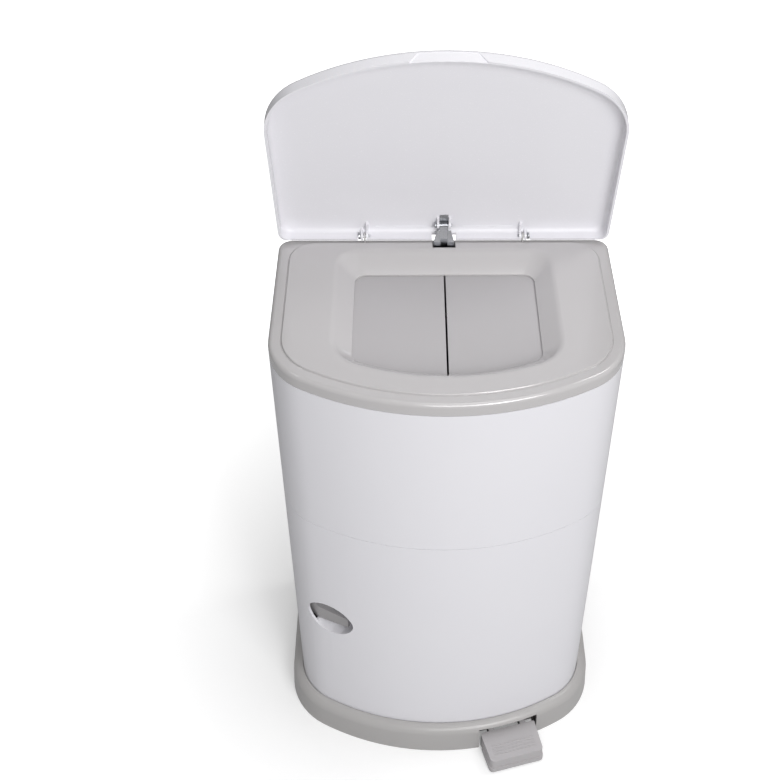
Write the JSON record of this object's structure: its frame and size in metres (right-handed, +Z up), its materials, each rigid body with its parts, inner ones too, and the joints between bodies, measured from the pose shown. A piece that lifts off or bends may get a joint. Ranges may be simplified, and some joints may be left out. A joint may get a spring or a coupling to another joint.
{
  "type": "nappy bin",
  "caption": "D-shaped floor bin with a pedal-lifted lid on a rear link, a funnel mouth with sprung trap flaps, a refill cassette, a lower front door with a pull latch and a base ring.",
  "frame": {"origin": "on the floor under the middle of the mouth", "axes": "+Z up, +Y towards the flat back, +X towards the pedal's side"},
  "size_m": [0.375, 0.31, 0.8308],
  "materials": {
    "white_shell": "moulded white plastic, satin gloss",
    "grey_plastic": "moulded grey plastic, satin",
    "steel": "zinc plated steel",
    "bright_link": "bright plated sheet steel",
    "rubber_pad": "soft rubber",
    "film": "packed thin film"
  },
  "bodies": {
    "bin": {"base_tray": "grey_plastic", "floor_pads": "rubber_pad", "chamber_floor": "white_shell", "body_shell": "white_shell", "door_pin_lower": "steel", "door_pin_upper": "steel", "strike_plate": "steel", "strike_screws": "steel", "top_cover": "grey_plastic", "hinge_pin_left": "steel", "hinge_pin_right": "steel", "rod_guide_lower": "white_shell", "rod_guide_upper": "white_shell", "guide_screws": "steel", "fulcrum_bracket": "steel", "fulcrum_pin": "steel", "bracket_screws": "steel", "chute_collar": "grey_plastic", "collar_screws": "steel", "flap_pin_left": "steel", "flap_pin_right": "steel", "cassette_shelf": "white_shell", "liner_cassette": "grey_plastic", "liner_film": "film", "liner_cutter": "grey_plastic", "cutter_blade": "steel"},
    "lid": {"lid": "white_shell", "crank_pin": "steel", "wear_plate": "steel"},
    "lid_link": {"lid_link": "bright_link"},
    "push_rod": {"push_rod": "steel", "link_pin": "steel"},
    "pedal": {"pedal_lever": "steel", "pedal_pad": "grey_plastic"},
    "flap_left": {"trap_flap_left": "grey_plastic", "flap_spring_left": "steel"},
    "flap_right": {"trap_flap_right": "grey_plastic", "flap_spring_right": "steel"},
    "door": {"front_door": "white_shell", "pull_cup": "white_shell", "latch_pin": "steel"},
    "latch": {"latch_lever": "grey_plastic", "latch_spring": "steel"}
  },
  "joints": [
    {"name": "lid_hinge", "type": "hinge", "parent": "bin", "child": "lid", "pos_m": [0, 0.118, 0.5895], "axis": [1, 0, 0], "range_deg": [0, 77]},
    {"name": "rod_slide", "type": "slide", "parent": "bin", "child": "push_rod", "axis": [0, 0, -1], "range_m": [0, 0.01011]},
    {"name": "link_tilt", "type": "hinge", "parent": "push_rod", "child": "lid_link", "pos_m": [0, 0.11, 0.571], "axis": [1, 0, 0], "range_deg": [0, 23.79]},
    {"name": "pedal_hinge", "type": "hinge", "parent": "bin", "child": "pedal", "pos_m": [0.0512, -0.0134, 0.0185], "axis": [-0.9681, -0.2504, 0], "range_deg": [0, 4.39]},
    {"name": "flap_left_hinge", "type": "hinge", "parent": "bin", "child": "flap_left", "pos_m": [-0.0985, 0, 0.566], "axis": [0, 1, 0], "range_deg": [0, 80], "stiffness_Nm_per_rad": 0.05, "springref_deg": -45.84},
    {"name": "flap_right_hinge", "type": "hinge", "parent": "bin", "child": "flap_right", "pos_m": [0.0985, 0, 0.566], "axis": [0, -1, 0], "range_deg": [0, 80], "stiffness_Nm_per_rad": 0.05, "springref_deg": -45.84},
    {"name": "door_hinge", "type": "hinge", "parent": "bin", "child": "door", "pos_m": [0.169, -0.016, 0.2], "axis": [0, 0, 1], "range_deg": [0, 100]},
    {"name": "latch_hinge", "type": "hinge", "parent": "door", "child": "latch", "pos_m": [-0.1541, -0.06352, 0.2045], "axis": [0, 0, -1], "range_deg": [0, 9], "stiffness_Nm_per_rad": 0.3, "springref_deg": -5.73}
  ],
  "couplings": [
    {"joint": "rod_slide", "follows": "lid_hinge", "m_per_rad": 0.007484},
    {"joint": "link_tilt", "follows": "lid_hinge", "ratio": 0.30829},
    {"joint": "pedal_hinge", "follows": "lid_hinge", "ratio": 0.05662}
  ]
}
